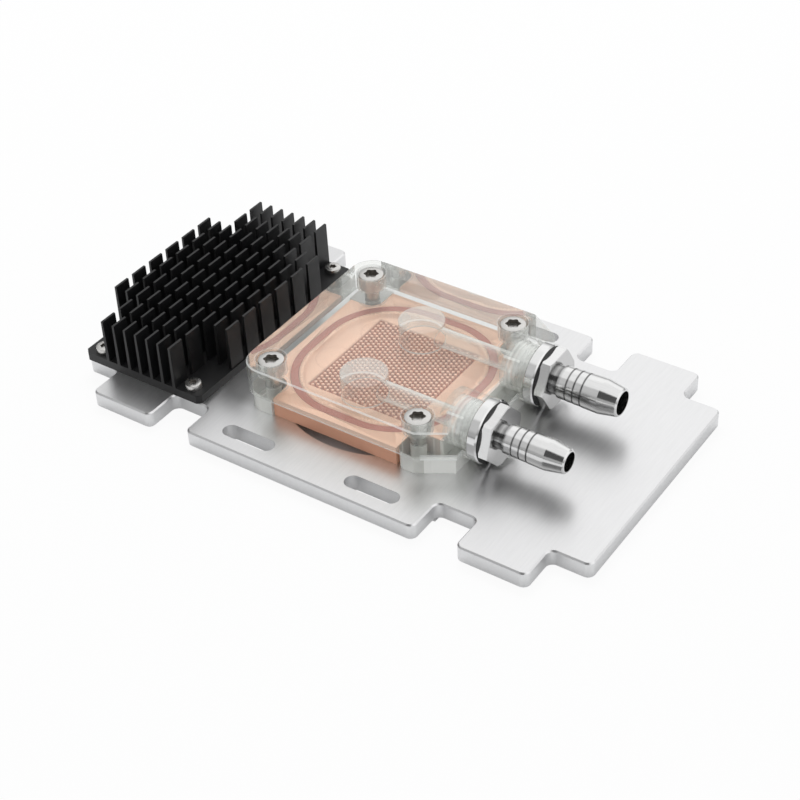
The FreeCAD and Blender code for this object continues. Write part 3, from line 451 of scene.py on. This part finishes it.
def clear_acrylic(settings):
    """Cast acrylic: polished outside, milky where a cutter has been, mirroring in its walls, with
    painted highlights and painted light in places.
    """
    finish = new_finish("clear_acrylic")
    x, y, z = finish.split(finish.place())
    geometry = finish.outputs("ShaderNodeNewGeometry")
    lean = finish.split(geometry[NORMAL])[2].absolute()
    facing = finish.node("ShaderNodeLayerWeight", {}, {"Blend": 0.5}, output=1)
    from_axis = distance(y.absolute() - PORT_Y, z - PORT_Z)
    in_channel = (from_axis < CHANNEL_RADIUS) * (x < PORT_END)
    foot = z < COLD_TOP - 0.05 * MM
    lower_block = (x > 27.0 * MM) * (z < 12.0 * MM)
    haze = settings.haze + finish.noise(90.0) * 0.03
    haze += port_haze(settings, x, from_axis)
    haze += chamber_haze(x, y, z, facing)
    # Painted highlight: bright bands along the channels' sides, where they are seen edge on.
    haze += in_channel * (facing * 1.5 - 0.2).clipped() * 0.85
    haze += screw_hole_haze(x, y, facing)
    # Partly milky acrylic, partly painted light: the feet and the lower port block are brightened
    # for the light that the acrylic refracts into them.
    haze += foot * (0.34 + facing * 0.4)
    haze += (x > 28.6 * MM) * 0.05 + lower_block * 0.42
    # Painted highlights along the cover's edges.
    haze += painted_edge_highlight(x, z, lean)
    side = ((x < -SIDE_WALL) + (y.absolute() > SIDE_WALL)).clipped()
    mirror = geometry[BACKFACING] * side * (lean < 0.2)
    sheen = (0.04 + 0.96 * facing**4.0 + mirror * 0.7).clipped()
    clear = finish.node("ShaderNodeBsdfTransparent", {}, {"Color": colour(0.97, 0.975, 0.965)})
    # The feet's lighter milky colour is painted light as well.
    shade = finish.mixed(foot, colour(0.76, 0.77, 0.75), colour(0.82, 0.825, 0.79))
    milky = finish.skin(Base_Color=shade, Roughness=0.45)
    gloss_inputs = {"Color": colour(0.93, 0.94, 0.93), "Roughness": 0.03}
    gloss = finish.node("ShaderNodeBsdfGlossy", {}, gloss_inputs)
    body = finish.blended(haze.clipped(), clear, milky)
    return finish.end(finish.blended(sheen, body, gloss))


def dress_node(name, material):
    """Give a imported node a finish, on the object and not on its mesh."""
    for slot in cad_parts[name].material_slots:
        slot.link = "OBJECT"
        slot.material = material


def made_piece(name, mesh, materials, replaced):
    """A finished piece from a bmesh, riding on the block in place of the replaced nodes."""
    data = bpy.data.meshes.new(name)
    bmesh.ops.recalc_face_normals(mesh, faces=mesh.faces)
    mesh.to_mesh(data)
    mesh.free()
    piece = bpy.data.objects.new(name, data)
    bpy.context.scene.collection.objects.link(piece)
    for material in materials:
        data.materials.append(material)
    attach(piece, BODY)
    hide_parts(*replaced)
    return piece


def smooth_by_angle(piece, degrees):
    """Smooth shading with crisp edges past an angle."""
    for polygon in piece.data.polygons:
        polygon.use_smooth = True
    piece.data.set_sharp_from_angle(angle=math.radians(degrees))


def merged_copy(node):
    """A node's triangles joined to one skin, with each corner's own normal kept in a layer."""
    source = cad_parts[node].data
    mesh = bmesh.new()
    mesh.from_mesh(source)
    layer = mesh.loops.layers.float_vector.new("corner_normal")
    normals = iter(source.corner_normals)
    for face in mesh.faces:
        for loop in face.loops:
            loop[layer] = next(normals).vector
    bmesh.ops.remove_doubles(mesh, verts=mesh.verts, dist=MERGE_DISTANCE)
    return mesh


def keep_corner_normals(piece):
    """Shade a merged copy just as its node was shaded."""
    data = piece.data
    for polygon in data.polygons:
        polygon.use_smooth = True
    normals = [corner.vector[:] for corner in data.attributes["corner_normal"].data]
    data.attributes.remove(data.attributes["corner_normal"])
    data.normals_split_custom_set(normals)


def draw_back(mesh, axis, level, shift):
    """Move all that lies at one level a little way off, clear of what it touches."""
    for vert in mesh.verts:
        if abs(vert.co[axis] - level) < LEVEL_TOLERANCE:
            vert.co[axis] += shift


def verts_of(items):
    return [item for item in items if isinstance(item, bmesh.types.BMVert)]


def clear_field(mesh):
    """Take the coarse pins out of a copy of the cold plate and close the floor under them."""
    margin = 0.02 * MM
    inside = []
    for face in mesh.faces:
        middle = face.calc_center_median()
        level = PIN_FOOT - margin < middle.z < PIN_TIP + margin
        if level and abs(middle.x) < FIELD_X - margin and abs(middle.y) < FIELD_Y - margin:
            inside.append(face)
    bmesh.ops.delete(mesh, geom=inside, context="FACES")
    rim = [edge for edge in mesh.edges if edge.is_boundary]
    bmesh.ops.holes_fill(mesh, edges=rim, sides=0)


def add_pins(mesh, settings):
    """Six sided pins in staggered rows, each with a bevelled tip."""
    sides = 6
    edge = 0.2 * MM
    foot = PIN_FOOT - PIN_ROOT
    pitch = settings.pin_pitch
    column_pitch = pitch * math.sqrt(0.75)
    columns = int(2 * (FIELD_X - edge) / column_pitch)
    rows = int(2 * (FIELD_Y - edge) / pitch)
    start = Vector((-(columns - 1) / 2 * column_pitch, -(rows - 0.5) / 2 * pitch, foot))
    ring = bmesh.ops.create_circle(
        mesh,
        cap_ends=True,
        segments=sides,
        radius=settings.pin_radius,
        matrix=Matrix.Translation(start),
    )["verts"]
    base = next(face for face in ring[0].link_faces if len(face.verts) == sides)
    lifted = verts_of(bmesh.ops.extrude_face_region(mesh, geom=[base])["geom"])
    bmesh.ops.translate(mesh, verts=lifted, vec=(0.0, 0.0, PIN_TIP - foot))
    edges = {line for vert in lifted for line in vert.link_edges}
    tip = [line for line in edges if all(vert in lifted for vert in line.verts)]
    bevel(mesh, tip, 0.12 * MM, 1)
    pin = connected(mesh, ring[0])
    column = list(pin)
    for row in range(1, rows):
        copy = bmesh.ops.duplicate(mesh, geom=pin)["geom"]
        bmesh.ops.translate(mesh, verts=verts_of(copy), vec=(0.0, row * pitch, 0.0))
        column += copy
    for step in range(1, columns):
        copy = bmesh.ops.duplicate(mesh, geom=column)["geom"]
        shift = (step * column_pitch, (step % 2) * pitch / 2, 0.0)
        bmesh.ops.translate(mesh, verts=verts_of(copy), vec=shift)


def bevel(mesh, edges, width, segments):
    bmesh.ops.bevel(
        mesh,
        geom=edges,
        offset=width,
        segments=segments,
        profile=0.5,
        affect="EDGES",
        material=-1,
    )


def connected(mesh, vert):
    """Everything joined to a vertex: vertices, edges and faces."""
    found, waiting = {vert}, [vert]
    while waiting:
        for edge in waiting.pop().link_edges:
            other = set(edge.verts) - found
            found |= other
            waiting += other
    edges = {edge for item in found for edge in item.link_edges}
    faces = {face for item in found for face in item.link_faces}
    return [*found, *edges, *faces]


@dataclass
class ScrewShape:
    """The sizes of a flat cap screw."""

    head_radius: float
    head_height: float
    bevel: float
    socket_radius: float
    socket_depth: float
    shank_radius: float
    shank_length: float


def add_cap_screw(mesh, place, shape):
    """A flat cap screw with a six lobed socket, standing on its shank."""
    around, lobes, wave = 48, 6, 0.11
    x, y, top = place
    under_head = top - shape.head_height
    ring = bmesh.ops.create_circle(
        mesh,
        cap_ends=True,
        segments=around,
        radius=shape.shank_radius,
        matrix=Matrix.Translation((x, y, under_head - shape.shank_length)),
    )["verts"]
    face = next(item for item in ring[0].link_faces if len(item.verts) == around)
    face = grown(mesh, face, raised(shape.shank_length))
    face = grown(mesh, face, widened(shape.head_radius / shape.shank_radius, x, y))
    face = grown(mesh, face, raised(shape.head_height))
    bevel(mesh, list(face.edges), shape.bevel, 2)
    face = top_face(mesh, x, y, top)
    flat_radius = shape.head_radius - shape.bevel
    seat = grown(mesh, face, widened(shape.socket_radius / flat_radius, x, y))
    for index, vert in enumerate(seat.verts):
        reach = 1.0 + wave * math.cos(2.0 * math.pi * lobes * index / around)
        bmesh.ops.transform(mesh, matrix=widened(reach, x, y), verts=[vert])
    before = set(mesh.faces)
    seat = grown(mesh, seat, raised(-shape.socket_depth))
    # The socket's walls take the second finish, a painted shade.
    for wall in set(mesh.faces) - before - {seat}:
        wall.material_index = 1


def raised(height):
    """A move along Z."""
    return Matrix.Translation((0.0, 0.0, height))


def widened(factor, x, y):
    """A change of width about an upright axis."""
    scale = Matrix.Diagonal((factor, factor, 1.0, 1.0))
    return Matrix.Translation((x, y, 0.0)) @ scale @ Matrix.Translation((-x, -y, 0.0))


def grown(mesh, face, change):
    """Extrude a flat face, change the new one by a matrix and return it."""
    parts = bmesh.ops.extrude_face_region(mesh, geom=[face])["geom"]
    bmesh.ops.transform(mesh, matrix=change, verts=verts_of(parts))
    if face.is_valid:
        bmesh.ops.delete(mesh, geom=[face], context="FACES_ONLY")
    return next(item for item in parts if isinstance(item, bmesh.types.BMFace))


def top_face(mesh, x, y, level):
    """The widest flat face at a level, about an upright axis."""
    flat = []
    for face in mesh.faces:
        middle = face.calc_center_median()
        centred = (middle.xy - Vector((x, y))).length < CENTRE_TOLERANCE
        if centred and abs(middle.z - level) < LEVEL_TOLERANCE:
            flat.append(face)
    return max(flat, key=lambda face: face.calc_area())


def screw_places(node, radius):
    """The axes of a node's four screws, from its box and the heads' radius."""
    low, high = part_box(node)
    return [
        (x, y, high.z)
        for x in (low.x + radius, high.x - radius)
        for y in (low.y + radius, high.y - radius)
    ]


class WaterBlockSettings(bpy.types.PropertyGroup):
    pin_pitch: FloatProperty(
        name="Pin pitch",
        description="Distance from pin to pin on the cold plate",
        default=1.38 * MM,
        unit="LENGTH",
        precision=5,
    )
    pin_radius: FloatProperty(
        name="Pin radius",
        description="Corner radius of a six sided pin",
        default=0.46 * MM,
        unit="LENGTH",
        precision=5,
    )
    copper: FloatVectorProperty(
        name="Copper",
        description="Colour of the bare copper",
        default=(0.94, 0.58, 0.43),
        subtype="COLOR",
    )
    haze: FloatProperty(
        name="Haze",
        description="How milky each surface of the clear cover is",
        default=0.028,
        subtype="FACTOR",
    )
    thread_pitch: FloatProperty(
        name="Thread pitch",
        description="Distance from turn to turn of the threads in the ports",
        default=1.34 * MM,
        unit="LENGTH",
        precision=5,
    )
    head_radius: FloatProperty(
        name="Cover screw head",
        description="Radius of a cover screw's head",
        default=COVER_HEAD_RADIUS,
        unit="LENGTH",
        precision=5,
    )
    small_head_radius: FloatProperty(
        name="Heatsink screw head",
        description="Radius of a heatsink screw's head",
        default=2.3 * MM,
        unit="LENGTH",
        precision=5,
    )
    key_light: FloatProperty(
        name="Key light",
        description="Power of the soft light above the block",
        default=4.0,
        unit="POWER",
    )
    view_lens: FloatProperty(
        name="Lens",
        description="Focal length of the camera, in millimetres on a 36 mm sensor",
        default=79.783,
    )


class WATERBLOCK_OT_plate(bpy.types.Operator):
    """Satin aluminium on the mounting plate"""

    bl_idname = "waterblock.plate"
    bl_label = "Mounting plate"

    def execute(self, context):
        dress_node("mounting_plate", satin_aluminium())
        return {"FINISHED"}


class WATERBLOCK_OT_heatsink(bpy.types.Operator):
    """Black anodised finish on the heatsink"""

    bl_idname = "waterblock.heatsink"
    bl_label = "Heatsink"

    def execute(self, context):
        dress_node("heatsink", black_anodised())
        return {"FINISHED"}


class WATERBLOCK_OT_cold_plate(bpy.types.Operator):
    """Copper plate with its close field of staggered pins"""

    bl_idname = "waterblock.cold_plate"
    bl_label = "Cold plate"

    def execute(self, context):
        settings = context.scene.water_block
        mesh = bmesh.new()
        mesh.from_mesh(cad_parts["cold_plate"].data)
        bmesh.ops.remove_doubles(mesh, verts=mesh.verts, dist=MERGE_DISTANCE)
        clear_field(mesh)
        add_pins(mesh, settings)
        copper = milled_copper(settings)
        piece = made_piece("pin_plate", mesh, [copper], ["cold_plate"])
        smooth_by_angle(piece, 30.0)
        return {"FINISHED"}


class WATERBLOCK_OT_seals(bpy.types.Operator):
    """Rubber on the seals and rings"""

    bl_idname = "waterblock.seals"
    bl_label = "Seals"

    def execute(self, context):
        brown = rubber("brown_rubber", colour(0.36, 0.11, 0.075), colour(0.45, 0.15, 0.105))
        dress_node("cover_seal", brown)
        black = rubber("black_rubber", grey(0.008), grey(0.02))
        for side in ("front", "rear"):
            dress_node(f"{side}_hex_seal", black)
            dress_node(f"{side}_port_seal", black)
        return {"FINISHED"}


class WATERBLOCK_OT_cover(bpy.types.Operator):
    """Clear acrylic cover, drawn back a hair from whatever it touches"""

    bl_idname = "waterblock.cover"
    bl_label = "Cover"

    def execute(self, context):
        mesh = merged_copy("cover")
        draw_back(mesh, Z_AXIS, PLATE_TOP, SEAT_GAP)
        draw_back(mesh, Z_AXIS, COLD_TOP, SEAT_GAP)
        draw_back(mesh, Z_AXIS, SCREW_TOP - COVER_HEAD_HEIGHT, -SEAT_GAP)
        draw_back(mesh, X_AXIS, PORT_MOUTH, -SEAT_GAP)
        acrylic = clear_acrylic(context.scene.water_block)
        piece = made_piece("clear_cover", mesh, [acrylic], ["cover"])
        keep_corner_normals(piece)
        return {"FINISHED"}


class WATERBLOCK_OT_screws(bpy.types.Operator):
    """Steel screws with lobed sockets, in the cover and in the heatsink"""

    bl_idname = "waterblock.screws"
    bl_label = "Screws"

    def execute(self, context):
        settings = context.scene.water_block
        low, high = colour(0.6, 0.59, 0.57), colour(0.72, 0.71, 0.69)
        # The second finish, for the socket walls, is painted shade.
        finishes = [turned_metal("screw_steel", low, high, 0.2, 0.15), painted_socket_shade()]
        cap = ScrewShape(
            head_radius=settings.head_radius,
            head_height=COVER_HEAD_HEIGHT,
            bevel=0.35 * MM,
            socket_radius=1.9 * MM,
            socket_depth=1.2 * MM,
            shank_radius=2.0 * MM,
            shank_length=13.9 * MM,
        )
        small = ScrewShape(
            head_radius=settings.small_head_radius,
            head_height=1.5 * MM,
            bevel=0.4 * MM,
            socket_radius=1.0 * MM,
            socket_depth=0.6 * MM,
            shank_radius=1.25 * MM,
            shank_length=6.7 * MM,
        )
        groups = (("cap_screws", "cover_screws", cap), ("small_screws", "heatsink_screws", small))
        for name, node, shape in groups:
            mesh = bmesh.new()
            for place in screw_places(node, shape.head_radius):
                add_cap_screw(mesh, place, shape)
            piece = made_piece(name, mesh, finishes, [node])
            smooth_by_angle(piece, 35.0)
        return {"FINISHED"}


class WATERBLOCK_OT_fittings(bpy.types.Operator):
    """Bright plating on the fittings and their collars"""

    bl_idname = "waterblock.fittings"
    bl_label = "Fittings"

    def execute(self, context):
        low, high = grey(0.74), colour(0.84, 0.84, 0.835)
        plating = turned_metal("bright_plating", low, high, 0.07, 0.08)
        fitting = plated_fitting()
        for side in ("front", "rear"):
            dress_node(f"{side}_fitting", fitting)
            dress_node(f"{side}_collar", plating)
        return {"FINISHED"}


def floor_finish():
    """A pale floor that looks white to the camera and still takes the shadow.

    Under the block the camera sees it as it is lit.
    """
    finish = new_finish("pale_floor")
    path = finish.outputs("ShaderNodeLightPath")
    x, y = finish.split(finish.place())[:2]
    covered = 36.0 * MM
    open_floor = 1 - (x.absolute() < covered) * (y.absolute() < covered)
    mirrored = path[GLOSSY_RAY] * 0.15 + path[TRANSMISSION_RAY] * 0.15
    seen = (path[CAMERA_RAY] * open_floor * 0.92 + mirrored).clipped()
    matt = finish.node("ShaderNodeBsdfDiffuse", {}, {"Color": grey(0.6)})
    white = finish.node("ShaderNodeEmission", {}, {"Color": grey(1.0), "Strength": 1.0})
    return finish.end(finish.blended(seen, matt, white))


def add_floor():
    mesh = bmesh.new()
    bmesh.ops.create_grid(
        mesh,
        x_segments=1,
        y_segments=1,
        size=4.0,
        matrix=Matrix.Translation((0.0, 0.0, -0.05 * MM)),
    )
    data = bpy.data.meshes.new("floor")
    mesh.to_mesh(data)
    mesh.free()
    floor = bpy.data.objects.new("floor", data)
    data.materials.append(floor_finish())
    bpy.context.scene.collection.objects.link(floor)


def mirrored_studio(finish):
    """What bright metal mirrors: a white room, darker low down, at its -X side and in front."""
    direction = finish.node("ShaderNodeTexCoord", output=WORLD_DIRECTION)
    x, y, z = finish.split(direction)
    forward = 0.0 - y
    card_fade = 1 / 20.0
    front_fade = 1 / 8.0
    height = 0.2 + z.rise(0.02, 1 / 2.6) * 0.8
    slant = (1.0 + (x + 0.42) * 1.5).clipped()
    dark_card = x.rise(-0.3, card_fade) * forward.rise(0.42, card_fade) * z.rise(0.3, card_fade)
    dim_front = forward.rise(0.35, front_fade) * z.rise(0.1, front_fade)
    overhead = z.rise(0.74, 1 / 9.0)
    bright = height * slant * (1 - dark_card * 0.92) * (1 - dim_front * 0.45)
    return (bright * (1 - overhead * 0.12)).clipped()


def studio_world():
    """White to the camera, soft white light on matt faces, and a room for metal to mirror."""
    world = bpy.data.worlds.new("studio")
    finish = Finish(world)
    path = finish.outputs("ShaderNodeLightPath")
    seen = (path[CAMERA_RAY] + path[GLOSSY_RAY] + path[TRANSMISSION_RAY]).clipped()
    ambient = {"Color": colour(0.98, 0.99, 1.0), "Strength": 1.05}
    light = finish.node("ShaderNodeBackground", {}, ambient)
    room = finish.mixed(mirrored_studio(finish), grey(0.02), grey(1.0))
    shown = {
        "Color": finish.mixed(path[CAMERA_RAY], room, grey(1.0)),
        "Strength": 1.0 + 0.12 * (1 - path[CAMERA_RAY]),
    }
    view = finish.node("ShaderNodeBackground", {}, shown)
    return finish.end(finish.blended(seen, light, view), "ShaderNodeOutputWorld")


def add_key_light(power):
    """A soft box above the block that metal and acrylic don't mirror."""
    place = Vector((-0.25, 0.35, 0.75))
    data = bpy.data.lights.new("key_light", "AREA")
    data.shape = "RECTANGLE"
    data.size, data.size_y = 0.55, 0.4
    data.energy = power
    light = bpy.data.objects.new("key_light", data)
    light.location = place
    light.rotation_euler = (-place).to_track_quat("-Z", "Y").to_euler()
    light.visible_glossy = False
    bpy.context.scene.collection.objects.link(light)


def add_camera(lens):
    data = bpy.data.cameras.new("camera")
    data.lens = lens
    data.sensor_width = SENSOR_WIDTH
    data.clip_start = 0.01
    data.clip_end = 50.0
    camera = bpy.data.objects.new("camera", data)
    up = -CAMERA_DOWN
    axes = (CAMERA_RIGHT, up, CAMERA_RIGHT.cross(up), CAMERA_PLACE)
    rows = [[axis[row] for axis in axes] for row in range(3)]
    camera.matrix_world = Matrix((*rows, (0.0, 0.0, 0.0, 1.0)))
    bpy.context.scene.collection.objects.link(camera)
    bpy.context.scene.camera = camera


class WATERBLOCK_OT_stage(bpy.types.Operator):
    """Pale floor, soft studio light and the camera"""

    bl_idname = "waterblock.stage"
    bl_label = "Stage"

    def execute(self, context):
        settings = context.scene.water_block
        add_floor()
        context.scene.world = studio_world()
        add_key_light(settings.key_light)
        add_camera(settings.view_lens)
        context.scene.view_settings.view_transform = "Standard"
        context.scene.cycles.transparent_max_bounces = 32
        return {"FINISHED"}


class WATERBLOCK_PT_panel(bpy.types.Panel):
    """Lists the steps that dress the water block"""

    bl_idname = "WATERBLOCK_PT_panel"
    bl_label = "Water block"
    bl_space_type = "VIEW_3D"
    bl_region_type = "UI"
    bl_category = "Water block"

    def draw(self, context):
        settings = context.scene.water_block
        for name in settings.__annotations__:
            self.layout.prop(settings, name)
        for operator in STEPS:
            self.layout.operator(operator.bl_idname)


STEPS = (
    WATERBLOCK_OT_plate,
    WATERBLOCK_OT_heatsink,
    WATERBLOCK_OT_cold_plate,
    WATERBLOCK_OT_seals,
    WATERBLOCK_OT_cover,
    WATERBLOCK_OT_screws,
    WATERBLOCK_OT_fittings,
    WATERBLOCK_OT_stage,
)
CLASSES = (WaterBlockSettings, *STEPS, WATERBLOCK_PT_panel)


def register():
    for item in CLASSES:
        bpy.utils.register_class(item)
    bpy.types.Scene.water_block = PointerProperty(type=WaterBlockSettings)


def unregister():
    del bpy.types.Scene.water_block
    for item in reversed(CLASSES):
        bpy.utils.unregister_class(item)


def main():
    register()
    for operator in STEPS:
        family, action = operator.bl_idname.split(".")
        getattr(getattr(bpy.ops, family), action)()


if __name__ == "__main__":
    main()
